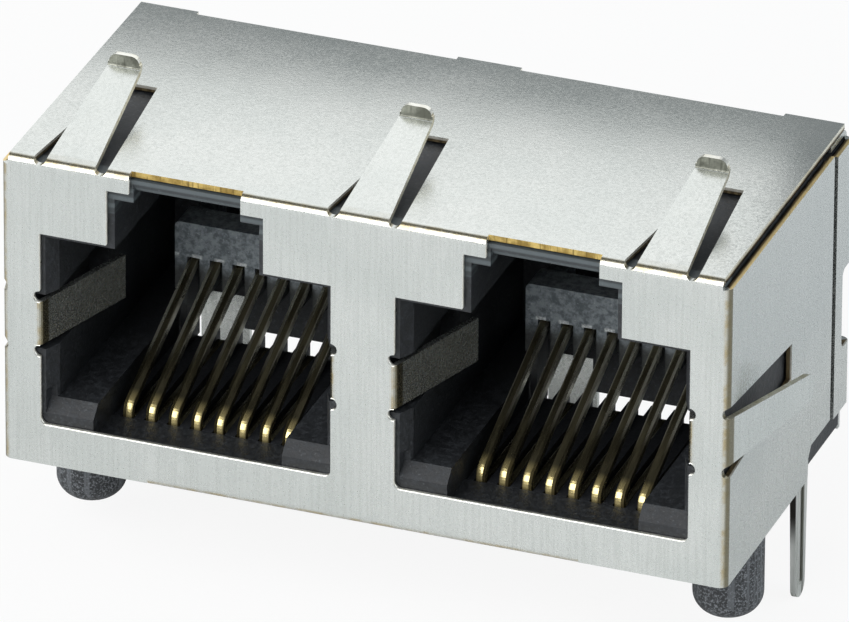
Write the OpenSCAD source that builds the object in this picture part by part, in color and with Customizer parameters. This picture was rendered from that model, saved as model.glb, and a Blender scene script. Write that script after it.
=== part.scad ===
// Two-port shielded modular jack for a printed circuit board.
// X runs along the row of ports, Y from the mating face to the back, Z up from the board.
// The origin lies on the board plane, midway between the two locating pegs.

/* [Body] */
// Width over the two side walls of the shield
body_w = 32; // [31:0.1:34]
// Height of the top panel above the board
body_h = 14.4; // [13.8:0.1:15]
// Depth from the mating face to the back of the rear cover
body_d = 15.35; // [14.8:0.05:17]
// Thickness of the shield sheet
sheet_t = 0.25; // [0.2:0.01:0.3]
// Outer radius of the folds in the shield
fold_r = 0.4; // [0.35:0.01:0.5]

/* [Port opening] */
// Width of the shield between an opening and the nearest side wall
port_side = 1.69; // [1.5:0.01:1.9]
// Width of the shield between the two openings
port_web = 2.78; // [2.6:0.01:3]
// Half width of the latch keyway's wide step
step_half = 3.48; // [3.3:0.01:3.7]
// Half width of the latch keyway's narrow step
slot_half = 2.48; // [2.3:0.01:2.7]
// Height of the opening's lower edge
open_low = 2; // [1.9:0.05:2.3]
// Distance of the wide step's upper edge below the top panel's outer face
step_drop = 0.9; // [0.85:0.05:1.2]
// Height of the wide step above the shoulders beside it
step_rise = 2.55; // [2.4:0.05:2.7]
// Radius of the opening's corners
corner_r = 0.3; // [0.2:0.05:0.4]

/* [Ground fingers] */
// Distance of the outer top fingers' centres from the side walls
top_finger_side = 3.05; // [2.8:0.05:3.4]
// Height of the centre of the side fingers
side_finger_z = 6.85; // [6.3:0.05:7.3]
// Width of an outside finger where it leaves the fold
finger_root_w = 2.15; // [1.8:0.05:2.4]
// Width of an outside finger at its crest
finger_tip_w = 1.35; // [1.1:0.05:1.6]
// Length of an outside finger up to its crest
finger_len = 6.05; // [5.2:0.05:6.4]
// Angle at which an outside finger leaves the panel
finger_slope = 15; // [8:1:18]
// Length of the turned-up tip of a top finger, beyond its bend
finger_tip_len = 0.45; // [0.3:0.05:0.7]
// Width of the relief slot beside an outside finger's root
relief_w = 0.55; // [0.4:0.05:0.7]
// Length of the window that an outside finger is cut from
window_len = 7.85; // [7.6:0.05:8.4]
// Height of an inner finger
inner_finger_w = 2; // [1.6:0.05:2.2]
// Height of the centre of the inner fingers
inner_finger_z = 6.7; // [6.3:0.05:7.1]
// Length of an inner finger
inner_finger_len = 5.3; // [4.5:0.05:5.8]
// Angle at which an inner finger leans into the port
inner_finger_lean = 18; // [10:1:20]

/* [Ground tails] */
// Distance of the side tail's front edge from the mating face
tail_front = 8.65; // [8.1:0.05:8.9]
// Width of a side tail
tail_w = 1.5; // [1.2:0.05:1.6]
// Length of a side tail below the board plane
tail_len = 5; // [3.2:0.05:5.2]
// Width of a rear tail
rear_tail_w = 2.2; // [1.8:0.05:2.3]
// Length of a rear tail below the board plane
rear_tail_len = 3.4; // [3:0.05:3.9]
// Offset of a rear tail from its port's centre
rear_tail_off = 4.05; // [3.9:0.05:4.15]

/* [Locating pegs] */
// Distance of the pegs from the mating face
peg_setback = 5.5; // [5.2:0.05:5.7]
// Distance of a peg's axis from the nearest side wall
peg_side = 1.8; // [1.75:0.05:2]
// Diameter of a peg
peg_d = 3; // [2.9:0.05:3.2]
// Length of a peg below the board plane
peg_len = 3.95; // [3.2:0.05:4.6]
// Radius of the rounded end of a peg
peg_end_r = 1; // [0.6:0.05:1.2]

/* [Contacts] */
// Distance between neighbouring contacts
contact_pitch = 1.016; // [1:0.001:1.03]
// Width of a contact
contact_w = 0.4; // [0.35:0.01:0.42]
// Thickness of a contact
contact_t = 0.3; // [0.25:0.01:0.32]
// Distance of the contact noses from the mating face
nose_y = 2.55; // [2.5:0.05:2.8]
// Radius of the bend at a contact's nose
nose_r = 0.5; // [0.45:0.01:0.55]
// Angle at which a contact rises to the back
spring_angle = 22.8; // [21:0.1:23.5]
// Distance of the first row of solder tails from the mating face
row_a_y = 8.5; // [8:0.05:8.6]
// Distance between the two rows of solder tails
row_step = 2.54; // [2.4:0.01:2.6]
// Length of the solder tails below the board plane
contact_tail_len = 3.4; // [3:0.05:3.8]

/* [Mouldings] */
// Distance of a plug cavity's sides behind the edges of its opening
cavity_step = 0.51; // [0.46:0.01:0.66]
// Height of the plug cavity's floor
floor_z = 3; // [2.8:0.05:3.1]
// Height of the contact channels' floor
channel_z = 1.1; // [1:0.05:1.15]
// Height of the ribs between the contact channels
rib_z = 1.65; // [1.55:0.05:1.75]
// Thickness of a rib between two channels
rib_w = 0.45; // [0.4:0.01:0.5]
// Half width of the comb block that guides the free ends
comb_half = 4.39; // [4.3:0.01:4.5]
// Height of the comb block's upper edge
comb_top = 7.05; // [6.8:0.05:7.5]
// Height of the comb block's lower edge
comb_low = 3.85; // [3.7:0.05:4]
// Distance of the comb block from the mating face
comb_y = 10.12; // [10:0.01:10.3]
// Clearance between a moulding and the sheet or moulding beside it
fit_gap = 0.05; // [0.03:0.01:0.08]

/* [Hidden] */
PORTS = ["left", "right"];

$fn = 48;
arc_step = 12;
past = 1;

shield_col = "#c3c7c3";
housing_col = "#232528";
insert_col = "#3b3e42";
contact_col = "#c6a75b";

half_w = body_w / 2;
main_half = (body_w - 2 * port_side - port_web) / 4;
port_pitch = 2 * main_half + port_web;
open_step = body_h - step_drop;
open_shoulder = open_step - step_rise;
cavity_half = main_half - cavity_step;
top_finger_x = half_w - top_finger_side;
peg_x = half_w - peg_side;
fold_mid = fold_r - sheet_t / 2;
nick_r = relief_w / 2;
nick_depth = 0.28;

// Side walls of the shield, and the top panel between them
wall_low = 0.15;
wall_top = body_h - 0.45;
seam = 0.08;
panel_half = half_w - sheet_t - seam;
rear_inner = body_d - sheet_t;
panel_d = rear_inner - 0.3;
panel_tab = 0.25;
flap_d = 2;
flap_front = body_d - flap_d;
flap_low = 1.4;
flap_top = body_h - 0.7;
flap_slot_low = 4.3;
flap_slot_high = 8;
flap_slot_r = 0.35;
flap_slot_y = body_d - 1.15;
wall_d = flap_front - 0.45;
flange_half = half_w - 1.05;
flange_d = 2.9;

// Rear tails and the notches that they leave the housing through
tail_tip_w = 0.5;
notch_side = 0.15;
notch_top = 1.8;

// Housing
mould_low = 0.27;
mould_top = body_h - sheet_t - 2 * fit_gap;
mould_front = sheet_t + fit_gap;
mould_half = half_w - sheet_t - 2 * fit_gap;
mould_back = rear_inner - 2 * fit_gap;
back_wall = 0.9;
lip_z = mould_top - sheet_t;
edge_cut = 0.2;
cavity_back = mould_back - back_wall;
cavity_top = open_shoulder - 0.25;
key_half = step_half - 0.28;
key_top = open_step - 0.5;
key_slot_half = slot_half - 0.12;
key_slot_top = open_step - 0.05;
key_back = comb_y - 0.6;
lead_in = 0.35;
lead_depth = 0.7;
ramp_h = 0.55;
insert_half = 4.15;
bay_half = insert_half + fit_gap;
bay_front = nose_y - fit_gap;
bay_rear_half = comb_half + fit_gap;
sill_z = rib_z;
neck_low = 0.05;
neck_cut = 0.35;

// Outside fingers
finger_crest_y = sheet_t / 2 + fold_mid * (1 - sin(finger_slope)) + finger_len * cos(finger_slope);
finger_crest_z = fold_mid * cos(finger_slope) - fold_r + finger_len * sin(finger_slope);

// Contacts
bed_z = channel_z + contact_t / 2;
nose_mid = nose_r;
nose_centre_y = nose_y + nose_r + contact_t / 2;
spring_y0 = nose_centre_y - nose_r * sin(spring_angle);
spring_z0 = bed_z + nose_r + nose_r * cos(spring_angle);
free_end_y = comb_y + 1.1;
row_b_y = row_a_y + row_step;
tail_bend_r = 0.35;
hole_gap = 0.03;
deck_back = row_b_y + 0.3;
comb_back = comb_y + 1.5;
comb_slot_top = spring_z0 + (comb_y - spring_y0) * tan(spring_angle) + 0.25;
comb_slot_w = contact_w + 0.16;
cheek_w = insert_half - 3.5 * contact_pitch - contact_w / 2 - 0.08;

// Stations [point, heading] along a strip that goes straight and then turns, move after move.
// A move is [straight length, turn angle, turn radius].
function strip_path(moves, point, heading, k = 0) =
    k >= len(moves) ? [[point, heading]] :
    let (move = moves[k], turn = move[1])
    let (corner = point + move[0] * [cos(heading), sin(heading)])
    let (first = move[0] > 0 ? [[point, heading]] : [])
    turn == 0 ? concat(first, strip_path(moves, corner, heading, k + 1)) :
    let (side = sign(turn) * move[2], steps = ceil(abs(turn) / arc_step))
    let (centre = corner + side * [-sin(heading), cos(heading)])
    let (ahead = heading + turn)
    concat(
        first,
        [for (i = [0:steps - 1])
            let (a = heading + turn * i / steps)
            [centre + side * [sin(a), -cos(a)], a]],
        strip_path(moves, centre + side * [sin(ahead), -cos(ahead)], ahead, k + 1)
    );

// Outline of a strip of thickness t along such stations
function strip_outline(path, t) =
    let (n = len(path))
    concat(
        [for (i = [0:n - 1]) path[i][0] + t / 2 * [-sin(path[i][1]), cos(path[i][1])]],
        [for (i = [n - 1:-1:0]) path[i][0] - t / 2 * [-sin(path[i][1]), cos(path[i][1])]]
    );

module strip(moves, point, heading, t) {
    polygon(strip_outline(strip_path(moves, point, heading), t));
}

// Everything is drawn with Y measured from the mating face
module in_frame() {
    translate([0, -peg_setback, 0]) children();
}

module both_sides() {
    children();
    mirror([1, 0, 0]) children();
}

module at_ports() {
    for (side = [-1, 1]) translate([side * port_pitch / 2, 0, 0]) children();
}

// A profile drawn in Y and Z, swept along X from -half to half
module sweep_x(half) {
    rotate([90, 0, 90]) translate([0, 0, -half]) linear_extrude(2 * half) children();
}

// An outline drawn in X and Z, cut along Y from y0 to y1
module sweep_y(y0, y1) {
    translate([0, y1, 0]) rotate([90, 0, 0]) linear_extrude(y1 - y0) children();
}

// An L of folded sheet with its outer corner at the origin
module folded_pair(leg_x, leg_y) {
    translate([fold_r, 0]) square([leg_x - fold_r, sheet_t]);
    translate([0, fold_r]) square([sheet_t, leg_y - fold_r]);
    intersection() {
        square(fold_r);
        translate([fold_r, fold_r]) difference() {
            circle(fold_r);
            circle(fold_r - sheet_t);
        }
    }
}

// A square with rounded lower corners
module round_foot(half, low, high, r) {
    translate([-half, low + r]) square([2 * half, high - low - r]);
    translate([-half + r, low]) square([2 * (half - r), high - low]);
    for (s = [-1, 1]) translate([s * (half - r), low + r]) circle(r);
}

// Opening of one port in the shield's front panel
module opening_outline() {
    round_foot(main_half, open_low, open_shoulder, corner_r);
    translate([-step_half, open_shoulder - past]) square([2 * step_half, open_step - open_shoulder + past]);
}

// Cut back at both edges of the opening for an inner finger's fold, with a rounded nick on each side
module finger_nicks() {
    for (s = [-1, 1])
        translate([s * main_half, inner_finger_z]) {
            square([2 * nick_r, inner_finger_w], center = true);
            for (d = [-1, 1]) translate([0, d * (inner_finger_w / 2 + nick_r)]) circle(nick_r);
        }
}

// Plan of an outside finger: tapered, with corners of radius r at its end
module finger_plan(length, r) {
    tip = finger_tip_w / 2;
    polygon(concat(
        [[-finger_root_w / 2, -past], [-finger_root_w / 2, fold_r]],
        [for (a = [180:-15:90]) [-tip + r + r * cos(a), length - r + r * sin(a)]],
        [for (a = [90:-15:0]) [tip - r + r * cos(a), length - r + r * sin(a)]],
        [[finger_root_w / 2, fold_r], [finger_root_w / 2, -past]]
    ));
}

// Front view of a finger with a turned-up tip, whose upper corners are rounded
module tip_front(top) {
    tip = finger_tip_w / 2;
    r = tip * 0.55;
    polygon(concat(
        [[-finger_root_w, top - r], [-tip, top - r]],
        [for (a = [165:-15:90]) [-tip + r + r * cos(a), top - r + r * sin(a)]],
        [for (a = [90:-15:15]) [tip - r + r * cos(a), top - r + r * sin(a)]],
        [[tip, top - r], [finger_root_w, top - r], [finger_root_w, -past], [-finger_root_w, -past]]
    ));
}

// An outside spring finger leaves the front panel over the fold and rises to its crest.
// Local frame: Y to the back, Z away from the panel, whose outer face is Z = 0.
module finger_strip(moves) {
    sweep_x(finger_root_w)
        strip(concat([[past - fold_r, finger_slope - 90, fold_mid]], moves), [sheet_t / 2, -past], 90, sheet_t);
}

// A side finger ends at its crest
module side_finger() {
    intersection() {
        finger_strip([[finger_len, 0, 0]]);
        translate([0, 0, -2 * past])
            linear_extrude(6 * past) finger_plan(finger_crest_y, finger_tip_w * 0.3);
    }
}

// A top finger is turned up at its crest
module top_finger() {
    top = finger_crest_z + sheet_t * cos(finger_slope) + finger_tip_len;
    intersection() {
        finger_strip([[finger_len, 90 - finger_slope, sheet_t], [finger_tip_len, 0, 0]]);
        translate([0, 0, -2 * past])
            linear_extrude(6 * past) finger_plan(finger_crest_y + past, 0.05);
        sweep_y(-past, finger_crest_y + 2 * past) tip_front(top);
    }
}

// The window of an outside finger, and the round-ended relief slots that run over the fold beside it
module finger_window() {
    half_front = finger_root_w / 2 + relief_w;
    half_back = half_front * 0.52;
    leave_y = fold_r * (1 - sin(finger_slope));
    translate([0, 0, -fold_r])
        linear_extrude(past + fold_r)
            polygon([
                [-half_front, leave_y],
                [half_front, leave_y],
                [half_front, fold_r],
                [half_back, window_len],
                [-half_back, window_len],
                [-half_front, fold_r]
            ]);
    sweep_y(-past, fold_r)
        for (s = [-1, 1])
            translate([s * (half_front - nick_r), nick_r - nick_depth]) {
                circle(nick_r);
                translate([-nick_r, 0]) square([2 * nick_r, past]);
            }
}

// A flat spring finger that leans into the port from the edge of its opening
module inner_finger() {
    sweep_x(inner_finger_w / 2)
        strip([
            [past - fold_r, inner_finger_lean - 90, fold_mid],
            [inner_finger_len, 0, 0]
        ], [sheet_t / 2, -past], 90, sheet_t);
}

module top_fingers() {
    for (x = [-top_finger_x, 0, top_finger_x]) translate([x, 0, body_h]) children();
}

module side_fingers() {
    both_sides() translate([half_w, 0, side_finger_z]) rotate([0, 90, 0]) children();
}

module inner_fingers() {
    at_ports() both_sides()
        translate([fold_r - nick_r - main_half, 0, inner_finger_z]) rotate([0, 90, 0]) children();
}

// Side wall outline in Y and Z, with the step above the board behind the tail
module wall_outline() {
    rise = 1.6;
    tail_back = tail_front + tail_w;
    polygon([
        [-past, wall_low],
        [tail_back, wall_low],
        [tail_back + 0.05, rise - 0.45],
        [tail_back + 0.4, rise],
        [wall_d, rise],
        [wall_d, wall_top],
        [-past, wall_top]
    ]);
}

// Solder tail in Y and Z, tapered to a rounded tip
module tail_outline() {
    tip_r = tail_w * 0.38;
    polygon(concat(
        [[tail_w, wall_low + past], [0, wall_low + past], [0, wall_low]],
        [for (a = [180:15:360]) [tail_w / 2 + 0.06 + tip_r * cos(a), -tail_len + tip_r + tip_r * sin(a)]],
        [[tail_w, wall_low]]
    ));
}

// Coined channel that stiffens a side tail
module tail_groove() {
    r = 0.24;
    hull() {
        translate([tail_w / 2 + 0.06, wall_low + 0.1]) circle(r, $fn = 32);
        translate([tail_w / 2 + 0.06, 0.8 - tail_len]) circle(r, $fn = 32);
    }
}

module side_wall() {
    translate([half_w, 0, 0]) {
        intersection() {
            translate([0, 0, wall_low]) linear_extrude(wall_top - wall_low)
                mirror([1, 0]) folded_pair(main_half, wall_d);
            translate([-half_w, 0, 0]) sweep_x(body_w) wall_outline();
        }
        difference() {
            translate([-sheet_t / 2, tail_front, 0]) sweep_x(sheet_t / 2) tail_outline();
            translate([0, tail_front, 0]) sweep_x(0.08) tail_groove();
        }
    }
}

// The front shield is one sheet: front panel, top panel, side walls, bottom flange and fingers
module front_shield() {
    color(shield_col) in_frame() {
        difference() {
            union() {
                translate([0, 0, body_h]) mirror([0, 0, 1]) sweep_x(panel_half) folded_pair(panel_d, body_h / 2);
                sweep_x(flange_half) folded_pair(flange_d, body_h / 2 + past);
                both_sides() side_wall();
                for (x = [-1, 0, 1])
                    translate([x * (panel_half - 1.3), panel_d - past, body_h - sheet_t])
                        translate([-1.3 - (x == 0 ? 0.12 : 0), 0, 0])
                            cube([x == 0 ? 2.84 : 2.6, past + panel_tab, sheet_t]);
            }
            at_ports() {
                sweep_y(-past, fold_r) {
                    opening_outline();
                    finger_nicks();
                }
                translate([-slot_half, -past, open_step - past])
                    cube([2 * slot_half, past + fold_r, body_h - open_step + 2 * past]);
            }
            top_fingers() finger_window();
            side_fingers() finger_window();
        }
        top_fingers() top_finger();
        side_fingers() side_finger();
        inner_fingers() inner_finger();
    }
}

// Slot across the fold of a side flap
module flap_slot() {
    translate([half_w, flap_slot_y + flap_slot_r, 0]) {
        for (z = [flap_slot_low + flap_slot_r, flap_slot_high - flap_slot_r])
            translate([0, 0, z]) rotate([0, 90, 0]) cylinder(r = flap_slot_r, h = 2 * past, center = true);
        translate([-past, -flap_slot_r, flap_slot_low + flap_slot_r])
            cube([2 * past, past, flap_slot_high - flap_slot_low - 2 * flap_slot_r]);
        translate([-past, 0, flap_slot_low]) cube([2 * past, 2 * past, flap_slot_high - flap_slot_low]);
    }
}

// The rear cover is one sheet: back wall, side flaps, top lip and two ground tails
module rear_shield() {
    back_top = body_h - sheet_t - fit_gap;
    color(shield_col) in_frame() {
        difference() {
            union() {
                both_sides()
                    translate([half_w, body_d, flap_low])
                        linear_extrude(flap_top - flap_low)
                            mirror([1, 0]) mirror([0, 1]) folded_pair(main_half, flap_d);
                translate([0, body_d, back_top])
                    mirror([0, 1, 0]) mirror([0, 0, 1]) sweep_x(panel_half) folded_pair(flap_d, body_h / 2);
                translate([-half_w + fold_r, rear_inner, 0]) cube([body_w - 2 * fold_r, sheet_t, body_h / 2 + past]);
            }
            both_sides() flap_slot();
        }
        at_ports()
            translate([-rear_tail_off, 0, 0])
                sweep_y(rear_inner, body_d)
                    polygon([
                        [-rear_tail_w / 2, past],
                        [-rear_tail_w / 2, rear_tail_w / 2 - rear_tail_len],
                        [-tail_tip_w / 2, -rear_tail_len],
                        [tail_tip_w / 2, -rear_tail_len],
                        [rear_tail_w / 2, rear_tail_w / 2 - rear_tail_len],
                        [rear_tail_w / 2, past]
                    ]);
    }
}

// Plug cavity, keyway, recesses for the inner fingers and the bay for the insert
module port_cavity() {
    mouth = cavity_half + lead_in;
    translate([0, 0, floor_z])
        linear_extrude(cavity_top - floor_z)
            polygon([
                [-mouth, -past],
                [mouth, -past],
                [mouth, mould_front],
                [cavity_half, mould_front + lead_depth],
                [cavity_half, cavity_back],
                [-cavity_half, cavity_back],
                [-cavity_half, mould_front + lead_depth],
                [-mouth, mould_front]
            ]);
    // ramp at the front of the floor
    sweep_x(mouth)
        polygon([
            [-past, floor_z - ramp_h],
            [mould_front, floor_z - ramp_h],
            [mould_front + ramp_h, floor_z],
            [mould_front + ramp_h, floor_z + ramp_h],
            [-past, floor_z + ramp_h]
        ]);
    sweep_y(-past, key_back) {
        translate([-key_half, cavity_top - past]) square([2 * key_half, key_top - cavity_top + past]);
        translate([-key_slot_half, key_top - past]) square([2 * key_slot_half, key_slot_top - key_top + past]);
    }
    // steps in the front edge of the keyway's roof
    for (i = [1:3])
        translate([-key_slot_half, -past, key_slot_top - past])
            cube([2 * key_slot_half, past + mould_front + 0.45 - 0.13 * i, past + 0.13 * i]);
    // room for the inner fingers when a plug pushes them back
    recess = main_half + sheet_t + 0.1;
    translate([-recess, -past, inner_finger_z - inner_finger_w / 2 - relief_w / 2])
        cube([2 * recess, past + inner_finger_len + 1.2, inner_finger_w + relief_w]);
    // hollow in front of the contacts, and the bay that the insert is pushed up into
    translate([-bay_half, -past, sill_z]) cube([2 * bay_half, bay_front + past, floor_z]);
    translate([-bay_half, bay_front, -past]) cube([2 * bay_half, cavity_back - bay_front, floor_z + 2 * past]);
    translate([-bay_rear_half, comb_y - fit_gap, -past])
        cube([2 * bay_rear_half, cavity_back - comb_y + fit_gap, floor_z + 2 * past]);
    // the way out for the rear tail
    translate([-rear_tail_off - rear_tail_w / 2 - notch_side, cavity_back - past, -past])
        cube([rear_tail_w + 2 * notch_side, back_wall + 2 * past, notch_top + past]);
}

// A locating peg with a rounded end and a narrower neck, which starts just below the board plane
module peg() {
    r = peg_d / 2;
    straight = peg_len - peg_end_r;
    translate([peg_x, peg_setback, 0])
        rotate_extrude() {
            translate([0, -straight]) square([r, straight - neck_low]);
            translate([0, -neck_low - past]) square([r - neck_cut, past + neck_low + mould_low + edge_cut]);
            translate([0, -peg_len]) square([r - peg_end_r, peg_end_r]);
            intersection() {
                translate([r - peg_end_r, -straight]) circle(peg_end_r);
                translate([r - peg_end_r, -peg_len]) square(peg_end_r);
            }
        }
}

// One moulding holds both ports
module housing() {
    foot = [3, 4];
    color(housing_col) in_frame() {
        difference() {
            sweep_x(mould_half)
                polygon([
                    [mould_front, mould_low + edge_cut],
                    [mould_front + edge_cut, mould_low],
                    [mould_back, mould_low],
                    [mould_back, mould_top],
                    [mould_front, mould_top]
                ]);
            at_ports() port_cavity();
            // rebate for the lip of the rear cover
            translate([-half_w, flap_front - past, lip_z - 2 * fit_gap]) cube([body_w, 2 * past + 2, past]);
        }
        both_sides() peg();
        translate([-foot[0] / 2, peg_setback - foot[1] / 2, 0]) cube([foot[0], foot[1], mould_low + 0.1]);
    }
}

function contact_x(k) = (k - 4.5) * contact_pitch;
function tail_y(k) = k % 2 == 1 ? row_a_y : row_b_y;

// The comb block, with its two front upper corners rounded
module comb_block() {
    r = 0.25;
    high = comb_top - comb_low;
    sweep_y(comb_y, comb_back) {
        translate([-comb_half, 0]) square([2 * comb_half, high - r]);
        translate([r - comb_half, 0]) square([2 * (comb_half - r), high]);
        for (s = [-1, 1]) translate([s * (comb_half - r), high - r]) circle(r);
    }
}

// Slot for one free end, with a roof that rises with the spring
module comb_slot() {
    slot_back = free_end_y + 0.2;
    sweep_x(comb_slot_w / 2)
        polygon([
            [comb_y - past, comb_low - past],
            [slot_back, comb_low - past],
            [slot_back, comb_slot_top + (slot_back - comb_y) * tan(spring_angle)],
            [comb_y - past, comb_slot_top - past * tan(spring_angle)]
        ]);
}

// The insert carries the wires on a ribbed deck and guides their free ends in a comb
module insert() {
    color(insert_col)
        difference() {
            union() {
                translate([-insert_half, bay_front + fit_gap, mould_low + 0.05])
                    cube([2 * insert_half, deck_back - bay_front - fit_gap, channel_z - mould_low - 0.05]);
                for (k = [1:7])
                    translate([contact_x(k + 0.5) - rib_w / 2, bay_front + fit_gap, channel_z - 0.1])
                        cube([rib_w, deck_back - bay_front - fit_gap, rib_z - channel_z + 0.1]);
                translate([0, 0, comb_low]) comb_block();
                both_sides() {
                    translate([insert_half - cheek_w, bay_front + fit_gap, channel_z - 0.1])
                        cube([cheek_w, deck_back - bay_front - fit_gap, rib_z - channel_z + 0.1]);
                    translate([insert_half - cheek_w, comb_y, mould_low + 0.05])
                        cube([cheek_w, deck_back - comb_y, comb_low]);
                    translate([comb_half - 0.8, comb_back - 0.1, comb_low + 0.6])
                        cube([0.8, cavity_back - fit_gap - comb_back + 0.1, comb_top - comb_low - 1.2]);
                }
            }
            for (k = [1:8]) {
                translate([contact_x(k) - contact_w / 2 - hole_gap, tail_y(k) - tail_bend_r - contact_t / 2, -past])
                    cube([contact_w + 2 * hole_gap, contact_t + tail_bend_r + hole_gap, rib_z + past]);
                translate([contact_x(k), 0, 0]) comb_slot();
            }
        }
}

// A contact: solder tail, bed in its channel, nose and rising spring
module contact(k) {
    bed_len = tail_y(k) - tail_bend_r - nose_centre_y;
    color(contact_col)
        translate([contact_x(k), 0, 0])
            sweep_x(contact_w / 2)
                strip([
                    [contact_tail_len + bed_z - tail_bend_r, 90, tail_bend_r],
                    [bed_len, spring_angle - 180, nose_mid],
                    [(free_end_y - spring_y0) / cos(spring_angle), 0, 0]
                ], [tail_y(k), -contact_tail_len], 90, contact_t);
}

module at_port(side) {
    in_frame() translate([(side == "left" ? -1 : 1) * port_pitch / 2, 0, 0]) children();
}

front_shield();
rear_shield();
housing();
for (side = PORTS) {
    at_port(side) insert();
    for (k = [1:8])
        at_port(side) contact(k);
}
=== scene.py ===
import math

import bmesh
import bpy
from mathutils import Matrix, Vector

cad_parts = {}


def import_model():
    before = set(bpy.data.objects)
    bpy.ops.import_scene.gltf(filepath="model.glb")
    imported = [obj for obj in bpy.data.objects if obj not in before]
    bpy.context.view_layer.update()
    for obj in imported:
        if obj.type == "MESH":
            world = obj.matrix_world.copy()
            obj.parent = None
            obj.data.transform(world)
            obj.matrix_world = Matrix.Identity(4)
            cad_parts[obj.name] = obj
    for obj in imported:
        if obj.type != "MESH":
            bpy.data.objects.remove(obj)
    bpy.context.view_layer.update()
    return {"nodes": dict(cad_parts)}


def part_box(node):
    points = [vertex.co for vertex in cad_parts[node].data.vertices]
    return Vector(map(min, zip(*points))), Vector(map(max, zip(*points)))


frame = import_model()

MM = 0.001


scene = bpy.context.scene
nodes = frame["nodes"]
shield_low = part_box("front_shield")[0]
housing_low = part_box("housing")[0]

# Places and sizes, in metres. The pegs' axes are at y = 0 and the board's plane is z = 0.
FACE = -5.5 * MM                                # y of the mating face
TOP = 14.4 * MM                                 # z of the top panel's outer face
WALL = 16.0 * MM                                # x of the side walls' outer faces
SHEET_T = 0.25 * MM                             # thickness of the shield's sheet
PORT_X = 7.85 * MM                              # x of the port centres
RIM_ROUND = 0.2 * MM                            # radius that a port's rim is rolled to
TAIL_FRONT = FACE + 8.65 * MM                   # front edge of the side tails
TAIL_GROOVE = FACE + 9.7 * MM                   # groove along a side tail
PITCH = 1.016 * MM                              # contact to contact
WIRE_ROUND = 0.5 * MM                           # radius of a wire's rounded face
ROW_SHIFT = 100.0 * MM                          # keeps places along a row above zero
WIRE_PHASE = (ROW_SHIFT / PITCH + 0.5) % 1.0    # a wire's middle, as a share of a shifted pitch
SLOT_TOP = 5.4 * MM                             # top of the wires' slots in the comb
LINTEL_LOW = 12.3 * MM                          # lower edge of the ribbed lintel in a keyway
STEP_PITCH = 0.42 * MM                          # rib to rib on that lintel
GROUND = min(shield_low.z, housing_low.z)       # lowest point of pegs and tails
FLOOR_REACH = 3.0                               # the floor's edges, from the middle
METAL_GRAIN = 0.02 * MM                         # depth of the grain and lines on metal
MOULD_GRAIN = 0.05 * MM                         # depth of the grain on plastic


# ---------------------------------------------------------------- node helpers

class Tree:
    """A material and short calls to add nodes to it."""

    def __init__(self, name):
        self.mat = bpy.data.materials.new(name)
        self.mat.use_nodes = True
        self.nodes = self.mat.node_tree.nodes
        self.links = self.mat.node_tree.links
        self.nodes.clear()
        self.out = self.nodes.new("ShaderNodeOutputMaterial")
        self.coords = self.nodes.new("ShaderNodeTexCoord").outputs["Object"]

    def add(self, kind, inputs=None):
        node = self.nodes.new(kind)
        for key, value in (inputs or {}).items():
            self.set(node.inputs[key], value)
        return node

    def set(self, socket, value):
        if isinstance(value, bpy.types.NodeSocket):
            self.links.new(value, socket)
        else:
            socket.default_value = value

    def split(self, vector):
        """The x, y and z of a vector."""
        return tuple(self.add("ShaderNodeSeparateXYZ", {0: vector}).outputs)

    def math(self, op, a, b=0.0):
        node = self.nodes.new("ShaderNodeMath")
        node.operation = op
        self.set(node.inputs[0], a)
        self.set(node.inputs[1], b)
        return node.outputs[0]

    def absolute(self, value):
        return self.math("ABSOLUTE", value)

    def product(self, result, *factors):
        for factor in factors:
            result = self.math("MULTIPLY", result, factor)
        return result

    def total(self, result, *terms):
        for term in terms:
            result = self.math("ADD", result, term)
        return result

    def noise(self, scale, detail=2.0, rough=0.5, vector=None):
        return self.add("ShaderNodeTexNoise", {
            "Vector": vector or self.coords, "Scale": scale, "Detail": detail,
            "Roughness": rough}).outputs["Fac"]

    def lines(self, detail, rough, *scale):
        """Noise drawn out along the axes whose scale is low."""
        stretched = self.add("ShaderNodeMapping", {"Vector": self.coords, "Scale": scale})
        return self.noise(1.0, detail, rough, stretched.outputs[0])

    def ramp(self, value, low, high, start=0.0, end=1.0):
        """Goes smoothly from start, where the value is low, to end, where it is high."""
        node = self.add("ShaderNodeMapRange", {
            "Value": value, "From Min": low, "From Max": high, "To Min": start, "To Max": end})
        node.clamp = True
        node.interpolation_type = "SMOOTHSTEP"
        return node.outputs[0]

    def band(self, value, start, full, last, end):
        """One from full to last, fading to nothing at start and at end."""
        return self.product(self.ramp(value, start, full), self.ramp(value, end, last))

    def spread(self, pattern, low, high):
        """A value that follows a noise."""
        return self.ramp(pattern, 0.3, 0.7, low, high)

    def mix(self, factor, a, b):
        node = self.nodes.new("ShaderNodeMix")
        node.data_type = "RGBA"
        self.set(node.inputs[0], factor)
        self.set(node.inputs[6], a)
        self.set(node.inputs[7], b)
        return node.outputs[2]

    def mottle(self, pattern, dark, light):
        """A colour that follows a noise."""
        return self.mix(self.ramp(pattern, 0.35, 0.65), dark, light)

    def bump(self, height, strength, distance):
        return self.add("ShaderNodeBump", {
            "Height": height, "Strength": strength, "Distance": distance}).outputs[0]

    def rounded(self, off, radius):
        """Shades a flat face as one that falls away with this radius from where off is zero."""
        return self.bump(self.product(off, off, -0.5 / radius), 1.0, 1.0)

    def surface(self, colour, rough, normal, metal=0.0, specular=0.5):
        shader = self.add("ShaderNodeBsdfPrincipled", {
            "Base Color": colour, "Metallic": metal, "Roughness": rough,
            "Specular IOR Level": specular, "Normal": normal})
        self.links.new(shader.outputs[0], self.out.inputs[0])
        return self.mat


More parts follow.
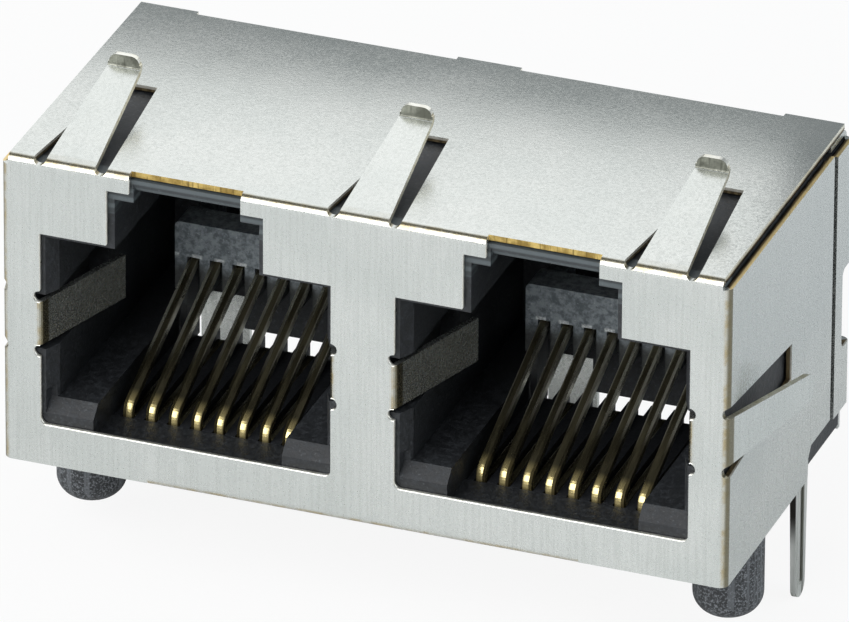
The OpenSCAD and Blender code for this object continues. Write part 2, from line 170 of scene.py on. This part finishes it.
def rgb(r, g, b):
    """A colour given as it shows on a screen, 0 to 255."""
    def linear(v):
        v /= 255.0
        return v / 12.92 if v <= 0.04045 else ((v + 0.055) / 1.055) ** 2.4
    return (linear(r), linear(g), linear(b), 1.0)


# ---------------------------------------------------------------- materials

def sheet_material():
    """Satin nickel plate: a fine grain, faint clouds and drawing lines, with the folds behind the
    mating face smoother, tinted warm as painted reflection and darker as painted shade, and the
    side walls greyer towards the top as painted shade."""
    fold_end, fold_full = FACE + 0.62 * MM, FACE + 0.5 * MM
    wall_foot, wall_upper = 1.5 * MM, 8.5 * MM
    t = Tree("plated_sheet")
    cloud = t.noise(220.0, 3.0, 0.55)
    speckle = t.noise(9000.0, 2.0, 0.5)
    grains = t.noise(6500.0, 3.0, 0.6)
    lines = t.lines(3.0, 0.6, 8000.0, 8000.0, 240.0)
    fold_tint_patches = t.ramp(t.noise(1300.0, 3.0, 0.6), 0.38, 0.62, 0.25, 0.95)
    _, y, z = t.split(t.coords)
    facing_x, facing_y, facing_z = t.split(t.add("ShaderNodeNewGeometry").outputs["Normal"])
    side_on = t.absolute(facing_x)
    flat = t.math("MAXIMUM", t.math("MAXIMUM", side_on, t.absolute(facing_y)),
                  t.absolute(facing_z))
    at_face = t.ramp(y, fold_end, fold_full)
    fold = t.product(at_face, t.ramp(flat, 0.99, 0.86))
    crown_shade = t.product(fold, t.ramp(facing_z, 0.6, 0.8))
    corner_shade = t.product(t.band(side_on, 0.5, 0.82, 0.98, 0.998), at_face)
    wall = t.product(t.ramp(side_on, 0.9, 0.99), t.ramp(z, wall_foot, wall_upper))
    base = t.mottle(cloud, rgb(217, 220, 216), rgb(224, 226, 222))
    base = t.mix(t.ramp(speckle, 0.45, 0.7, 0.0, 0.1), base, rgb(180, 186, 186))
    base = t.mix(t.ramp(lines, 0.4, 0.65, 0.0, 0.28), base, rgb(192, 195, 190))
    # Painted shade: the side walls are drawn greyer towards the top.
    base = t.mix(t.product(wall, 0.5), base, rgb(182, 190, 191))
    # Painted reflection: the folds behind the mating face get a warm, patchy tint, as they look
    # when reflecting the room.
    base = t.mix(t.product(fold, fold_tint_patches), base, rgb(190, 175, 140))
    # Painted shade: the upper part of each fold, which faces the dark overhead, is drawn darker.
    base = t.mix(t.product(crown_shade, 0.75), base, rgb(128, 120, 96))
    # Painted shade: a dark line down the folds between the mating face and the side walls.
    base = t.mix(t.product(corner_shade, 0.9), base, rgb(112, 106, 84))
    rough = t.total(t.spread(cloud, 0.25, 0.28), t.ramp(speckle, 0.4, 0.7, -0.03, 0.05),
                    t.ramp(lines, 0.4, 0.7, -0.02, 0.03))
    height = t.total(t.product(speckle, 0.5), t.product(lines, 0.3), t.product(grains, 0.8))
    relief = t.ramp(flat, 0.93, 0.995, 0.04, 0.24)
    return t.surface(base, rough, t.bump(height, relief, METAL_GRAIN), metal=0.92)


def edge_material(name, dark, light, streak, share, metal=0.8):
    """A cut edge of the sheet, streaked across by the shearing."""
    t = Tree(name)
    lines = t.lines(2.0, 0.6, 9000.0, 9000.0, 900.0)
    base = t.mottle(t.noise(1400.0, 3.0, 0.6), dark, light)
    base = t.mix(t.ramp(lines, 0.5, 0.7, 0.0, share), base, streak)
    return t.surface(base, t.spread(lines, 0.3, 0.5), t.bump(lines, 0.5, METAL_GRAIN), metal)


def rim_material():
    """The rolled edge around a port, rounded towards the front so that it catches the light, and
    drawn paler than the plate as a painted highlight.
    """
    t = Tree("rolled_rim")
    _, y, _ = t.split(t.coords)
    patch = t.noise(1500.0, 3.0, 0.6)
    depth = t.math("MAXIMUM", t.math("SUBTRACT", FACE + SHEET_T, y), 0.0)
    # Painted highlight: the rim is drawn near white, paler than the plate.
    base = t.mottle(patch, rgb(226, 224, 212), rgb(246, 245, 238))
    return t.surface(base, t.spread(patch, 0.26, 0.36), t.rounded(depth, RIM_ROUND), metal=0.9)


def tail_material():
    """A ground tail: coined flat, with painted shade as a grey groove along it and a dark leading
    edge.
    """
    groove_reach, groove_flat = 0.13 * MM, 0.05 * MM
    lead_end, lead_full = TAIL_FRONT + 0.14 * MM, TAIL_FRONT + 0.05 * MM
    t = Tree("coined_tail")
    _, y, _ = t.split(t.coords)
    lines = t.lines(3.0, 0.6, 3000.0, 3000.0, 200.0)
    off_groove = t.absolute(t.math("SUBTRACT", y, TAIL_GROOVE))
    groove = t.ramp(off_groove, groove_reach, groove_flat)
    lead_shadow = t.ramp(y, lead_end, lead_full)
    base = t.mottle(lines, rgb(196, 198, 192), rgb(232, 233, 229))
    # Painted shade: the groove along the tail is drawn dark grey.
    base = t.mix(t.product(groove, 0.85), base, rgb(88, 88, 78))
    # Painted shadow: the tail's leading edge is drawn near black.
    base = t.mix(t.product(lead_shadow, 0.95), base, rgb(40, 35, 26))
    return t.surface(base, t.spread(lines, 0.26, 0.4), t.bump(lines, 0.3, METAL_GRAIN), 0.85)


def window_material():
    """The sheared wall of a finger's window: dark, below an outer rim drawn pale as a painted
    highlight.
    """
    t = Tree("window_edge")
    x, _, z = t.split(t.coords)
    lines = t.lines(2.0, 0.6, 7000.0, 7000.0, 900.0)
    top_rim_highlight = t.ramp(z, TOP - 0.15 * MM, TOP - 0.1 * MM)
    side_rim_highlight = t.ramp(t.absolute(x), WALL - 0.1 * MM, WALL - 0.05 * MM)
    base = t.mottle(lines, rgb(92, 80, 58), rgb(138, 122, 92))
    # Painted highlight: a pale line along the window wall's outer rim.
    base = t.mix(t.math("MAXIMUM", top_rim_highlight, side_rim_highlight), base, rgb(244, 240, 228))
    return t.surface(base, t.spread(lines, 0.35, 0.5), t.bump(lines, 0.4, METAL_GRAIN), 0.7)


def seam_material():
    """Edges along the seam: dark sheared metal, darker still as painted shade of the gap, with a
    bright brass burr on the wall's outer side and a pale painted highlight along the top."""
    t = Tree("seam_edge")
    x, _, z = t.split(t.coords)
    patch = t.noise(1100.0, 3.0, 0.6)
    burr = t.product(t.ramp(t.absolute(x), WALL - 0.2 * MM, WALL - 0.1 * MM),
                     t.ramp(z, TOP - 0.26 * MM, TOP - 0.34 * MM))
    rim = t.ramp(z, TOP - 0.2 * MM, TOP - 0.12 * MM)
    # Dark sheared metal, drawn darker still as painted shade of the gap between top and wall.
    base = t.mottle(patch, rgb(66, 54, 36), rgb(116, 98, 70))
    base = t.mix(burr, base, rgb(244, 218, 160))
    # Painted highlight: a pale line along the top of the seam.
    base = t.mix(rim, base, rgb(232, 230, 216))
    return t.surface(base, t.spread(patch, 0.3, 0.5), t.bump(patch, 0.4, METAL_GRAIN), 0.8)


def housing_material():
    """Black glass-filled nylon with a fine sparked grain. The pegs are darker, with pale specks
    and streaks as painted highlights, and the lintels carry pale stripes as painted highlights on
    a stepped face."""
    peg_root = 0.3 * MM
    lintel_full = LINTEL_LOW + 0.1 * MM
    lintel_back, lintel_front = FACE + 1.2 * MM, FACE + 1.0 * MM
    t = Tree("black_moulding")
    _, y, z = t.split(t.coords)
    grain = t.noise(4200.0, 4.0, 0.65)
    glint = t.noise(9000.0, 2.0, 0.5)
    cloud = t.noise(300.0, 2.0, 0.5)
    below = t.ramp(z, peg_root, 0.0)
    peg_specks = t.ramp(t.noise(11000.0, 2.0, 0.6), 0.46, 0.68, 0.04, 0.8)
    peg_streaks = t.ramp(t.lines(2.0, 0.5, 3800.0, 3800.0, 60.0), 0.5, 0.68, 0.0, 0.45)
    rib_light_stripes = t.math("SINE", t.product(z, 2.0 * math.pi / STEP_PITCH))
    lintel = t.product(t.ramp(z, LINTEL_LOW, lintel_full), t.ramp(y, lintel_back, lintel_front))
    base = t.mix(t.ramp(grain, 0.4, 0.7), rgb(30, 32, 35), rgb(50, 53, 57))
    base = t.mix(t.ramp(glint, 0.6, 0.75, 0.0, 0.35), base, rgb(104, 108, 112))
    base = t.mix(t.product(below, 0.6), base, rgb(16, 17, 19))
    # Painted highlights: pale specks and vertical streaks on the pegs.
    base = t.mix(t.product(below, t.math("MAXIMUM", peg_specks, peg_streaks)), base, rgb(132, 136, 141))
    # Painted highlights: pale stripes for the lit faces of the lintel's steps.
    base = t.mix(t.product(lintel, t.ramp(rib_light_stripes, -0.6, 0.8, 0.25, 0.9)), base, rgb(88, 96, 99))
    rough = t.total(t.ramp(grain, 0.35, 0.7, 0.5, 0.66), t.spread(cloud, -0.05, 0.05))
    return t.surface(base, rough, t.bump(grain, 0.6, MOULD_GRAIN), specular=0.55)


def off_wire(t, x):
    """How far a place is from a wire's middle, along the row of contacts. The value jumps by a
    pitch 0.08 mm past each middle, on the side away from the jack's centre."""
    across = t.math("SUBTRACT", t.absolute(x), PORT_X)
    turn = t.math("FRACT", t.math("DIVIDE", t.total(across, ROW_SHIFT), PITCH))
    return t.product(t.math("SUBTRACT", turn, WIRE_PHASE), PITCH)


def insert_material():
    """Grey filled plastic, speckled with pale fibres: teeth and deck darker as painted shade, and
    a pale burr above the slots in the comb."""
    burr_reach, burr_full = 0.42 * MM, 0.34 * MM
    deck_end, deck_full = 3.4 * MM, 2.2 * MM
    t = Tree("speckled_insert")
    x, _, z = t.split(t.coords)
    grain = t.noise(3600.0, 5.0, 0.7)
    fleck = t.noise(8200.0, 2.0, 0.55)
    above = t.band(z, SLOT_TOP, SLOT_TOP + 0.06 * MM, SLOT_TOP + 0.14 * MM, SLOT_TOP + 0.24 * MM)
    burr = t.product(above, t.ramp(t.absolute(off_wire(t, x)), burr_reach, burr_full))
    teeth = t.ramp(z, SLOT_TOP, SLOT_TOP - 0.8 * MM, 0.0, 0.8)
    deck = t.ramp(z, deck_end, deck_full)
    base = t.mix(t.ramp(grain, 0.38, 0.62), rgb(100, 108, 113), rgb(150, 158, 163))
    base = t.mix(t.ramp(fleck, 0.62, 0.72, 0.0, 0.55), base, rgb(196, 202, 204))
    # Painted shade: the teeth are drawn darker below the slots' tops.
    base = t.mix(teeth, base, rgb(66, 66, 62))
    # Painted shade: the deck under the contacts is drawn near black.
    base = t.mix(deck, base, rgb(36, 38, 42))
    base = t.mix(t.product(burr, t.ramp(fleck, 0.4, 0.6, 0.4, 1.0)), base, rgb(226, 230, 230))
    return t.surface(base, t.ramp(grain, 0.35, 0.7, 0.45, 0.65), t.bump(grain, 0.6, MOULD_GRAIN))


def contact_material():
    """Gold over phosphor bronze: rounded across, bright at the noses and dark olive along the wire
    as painted shade, with painted shade on the noses' edges and a painted reflection on the edges
    further back."""
    nose_end, nose_full = FACE + 3.5 * MM, FACE + 2.9 * MM
    edge_start, edge_full = 0.13 * MM, 0.2 * MM
    t = Tree("gold_wire")
    x, y, _ = t.split(t.coords)
    lines = t.lines(2.0, 0.55, 2500.0, 400.0, 400.0)
    across = off_wire(t, x)
    side = t.ramp(t.absolute(across), edge_start, edge_full)
    nose = t.ramp(y, nose_end, nose_full)
    middle = t.band(y, FACE + 4.8 * MM, FACE + 6.4 * MM, FACE + 9.4 * MM, FACE + 10.5 * MM)
    # Painted shade: the gold along the wire is drawn dark olive, as it looks reflecting the dark
    # cavity.
    base = t.mottle(lines, rgb(86, 81, 63), rgb(114, 108, 85))
    base = t.mix(nose, base, rgb(242, 222, 158))
    # Painted shade: the noses' edges are drawn dark.
    base = t.mix(t.product(side, nose, 0.6), base, rgb(58, 50, 32))
    # Painted reflection: the wires' edges are drawn pale along the stretch that faces the windows.
    base = t.mix(t.product(side, middle, 0.85), base, rgb(226, 222, 202))
    return t.surface(base, t.spread(lines, 0.22, 0.34), t.rounded(across, WIRE_ROUND), metal=0.8)


SHEET = sheet_material()
BRASS = edge_material(
    "bare_brass_edge", rgb(160, 132, 70), rgb(232, 202, 124), rgb(104, 84, 44), 0.7)
PALE = edge_material("plated_edge", rgb(204, 196, 170), rgb(228, 224, 208), rgb(140, 118, 84), 0.5)
RIM = rim_material()
TAIL = tail_material()
# Painted shade: the plated faces of the turned-up tips, drawn darker than the plate.
TIP_SHADE = edge_material("tip_painted_shade", rgb(104, 105, 96), rgb(144, 145, 135), rgb(86, 87, 78), 0.6, 0.9)
WINDOW = window_material()
SEAM = seam_material()
HOUSING = housing_material()
INSERT = insert_material()
CONTACT = contact_material()
SHIELD_FINISHES = (SHEET, BRASS, PALE, RIM, WINDOW, SEAM, TIP_SHADE, TAIL)


def dress(name, *mats):
    node = nodes[name]
    node.data.materials.clear()
    for mat in mats:
        node.data.materials.append(mat)
    return node


def cut_edges(node):
    """Gives the cut edges of a shield their own finishes, by where a face lies and which way it
    looks. The first case that fits counts, and a face that fits none stays plated sheet."""
    slack = 0.02 * MM
    inner_top, inner_wall = TOP - SHEET_T - slack, WALL - SHEET_T - slack
    past_fold, fold_row = FACE + 0.3 * MM, FACE + 0.6 * MM
    raised_from, tails_below, tails_from = 3.0 * MM, 0.2 * MM, FACE + 8.0 * MM
    tips_from, tip_rims_from = TOP + 1.0 * MM, TOP + 1.5 * MM
    seam_x, seam_z = WALL - 0.5 * MM, TOP - 0.8 * MM
    ports_end, key_half = WALL - 1.0 * MM, 2.6 * MM
    for poly in node.data.polygons:
        pts = [node.data.vertices[i].co for i in poly.vertices]
        n = poly.normal
        x_low, x_high = min(abs(p.x) for p in pts), max(abs(p.x) for p in pts)
        y_low, y_high = min(p.y for p in pts), max(p.y for p in pts)
        z_low, z_high = min(p.z for p in pts), max(p.z for p in pts)
        off_port = max(abs(abs(p.x) - PORT_X) for p in pts)
        in_top = inner_top < z_low and z_high < TOP + slack
        in_wall = inner_wall < x_low and x_high < WALL + slack
        in_face = FACE - slack < y_low and y_high < FACE + SHEET_T + slack
        raised = z_low > raised_from
        keyway = in_top and n.y < -0.9 and y_high < fold_row and off_port < key_half
        tail = z_high < tails_below and x_low > inner_wall and y_low > tails_from
        # Tip rims take the rolled rim finish, drawn near white as a painted highlight.
        tip_rim = n.z > 0.3 and abs(n.y) < 0.1 and z_low > tip_rims_from
        seam = (in_top and abs(n.x) > 0.9 and x_low > seam_x
                or in_wall and n.z > 0.9 and z_low > seam_z)
        window = raised and y_low > past_fold and (
            in_top and abs(n.z) < 0.1 or in_wall and abs(n.x) < 0.1)
        port_rim = in_face and abs(n.y) < 0.3 and x_high < ports_end
        # The turned-up tips' faces get the plate drawn darker, as painted shade.
        tip = n.y < -0.6 and z_low > tips_from
        finger = (abs(n.x) > 0.8 and z_low > inner_top
                  or raised and abs(n.z) > 0.8 and x_low > inner_wall)
        for fits, finish in ((keyway, BRASS), (tail, TAIL), (tip_rim, RIM), (seam, SEAM),
                             (window, WINDOW), (port_rim, RIM), (tip, TIP_SHADE), (finger, PALE)):
            if fits:
                poly.material_index = SHIELD_FINISHES.index(finish)
                break


for name in ("front_shield", "rear_shield"):
    cut_edges(dress(name, *SHIELD_FINISHES))
dress("housing", HOUSING)
for name in nodes:
    if name.startswith("insert_"):
        dress(name, INSERT)
    if name.startswith("contact_"):
        dress(name, CONTACT)


# ---------------------------------------------------------------- stage

def floor():
    """White ground under the jack. The camera sees it nearly plain white, with a soft shadow."""
    own_light = 0.9
    mesh = bpy.data.meshes.new("floor")
    bm = bmesh.new()
    bm.faces.new([bm.verts.new((x * FLOOR_REACH, y * FLOOR_REACH, GROUND))
                  for x, y in ((-1, -1), (1, -1), (1, 1), (-1, 1))])
    bm.to_mesh(mesh)
    bm.free()
    obj = bpy.data.objects.new("floor", mesh)
    scene.collection.objects.link(obj)
    t = Tree("floor_white")
    colour = t.mix(t.noise(40.0, 2.0, 0.5), (0.86, 0.86, 0.86, 1), (0.9, 0.9, 0.9, 1))
    paint = t.add("ShaderNodeBsdfDiffuse", {"Color": colour})
    glow = t.add("ShaderNodeEmission", {"Color": (1, 1, 1, 1), "Strength": 1.0})
    seen = t.add("ShaderNodeLightPath").outputs["Is Camera Ray"]
    blend = t.add("ShaderNodeMixShader", {
        0: t.product(seen, own_light), 1: paint.outputs[0], 2: glow.outputs[0]})
    t.links.new(blend.outputs[0], t.out.inputs[0])
    mesh.materials.append(t.mat)


def world():
    """Faint cool light from all round, which the camera sees as plain white."""
    studio = bpy.data.worlds.new("studio")
    scene.world = studio
    studio.use_nodes = True
    tree = studio.node_tree
    tree.nodes.clear()
    out = tree.nodes.new("ShaderNodeOutputWorld")
    path = tree.nodes.new("ShaderNodeLightPath")
    mix = tree.nodes.new("ShaderNodeMixShader")
    tree.links.new(path.outputs["Is Camera Ray"], mix.inputs[0])
    for socket, colour, strength in ((1, (0.86, 0.95, 1.0, 1), 0.22), (2, (1, 1, 1, 1), 1.0)):
        sky = tree.nodes.new("ShaderNodeBackground")
        sky.inputs[0].default_value = colour
        sky.inputs[1].default_value = strength
        tree.links.new(sky.outputs[0], mix.inputs[socket])
    tree.links.new(mix.outputs[0], out.inputs[0])


def lamp(name, place, aim, size, power, colour=(1, 1, 1), tilt=0.0):
    """A rectangular lamp that the camera doesn't see; tilt turns it in its own plane, degrees."""
    data = bpy.data.lights.new(name, "AREA")
    data.shape = "RECTANGLE"
    data.size, data.size_y = size
    data.energy = power
    data.color = colour
    obj = bpy.data.objects.new(name, data)
    scene.collection.objects.link(obj)
    obj.visible_camera = False
    obj.location = place
    obj.rotation_euler = (Vector(aim) - Vector(place)).to_track_quat("-Z", "Y").to_euler()
    obj.rotation_euler.rotate_axis("Z", math.radians(tilt))


def camera():
    """Long lens from the front, above and to the right of the jack."""
    yaw, pitch, roll = (math.radians(a) for a in (20.414, 27.763, -0.312))
    across, up, away = -2.606 * MM, -8.891 * MM, 633.2 * MM
    turn = (Matrix.Rotation(-roll, 3, "Y") @ Matrix.Rotation(pitch, 3, "X")
            @ Matrix.Rotation(-yaw, 3, "Z"))
    eye = turn.inverted() @ Vector((-across, -away, -up))
    eye.y += FACE
    data = bpy.data.cameras.new("camera")
    data.sensor_fit = "HORIZONTAL"
    data.sensor_width = 36.0
    data.lens = 648.6
    data.clip_start = 0.01
    data.clip_end = 50.0
    obj = bpy.data.objects.new("camera", data)
    scene.collection.objects.link(obj)
    right, ahead, above = turn
    pose = Matrix((right, above, -ahead)).transposed()
    obj.matrix_world = Matrix.Translation(eye) @ pose.to_4x4()
    scene.camera = obj


camera()
floor()
world()
MIDDLE = (0, 0, 5.0 * MM)                       # what the key and the fill look at
lamp("key", (-0.28, -0.52, 0.42), MIDDLE, (1.0, 0.65), 6.2)
lamp("fill", (0.55, 0.1, 0.3), MIDDLE, (0.7, 0.5), 2.2, (0.93, 0.97, 1.0))
# A small card just over the top panel, which reflects it
lamp("top_card", (-0.0072, 0.0087, 0.0292), (-0.0056, -0.0055, 0.013), (0.036, 0.0235),
     0.00255, tilt=-2.5)

scene.view_settings.view_transform = "Standard"
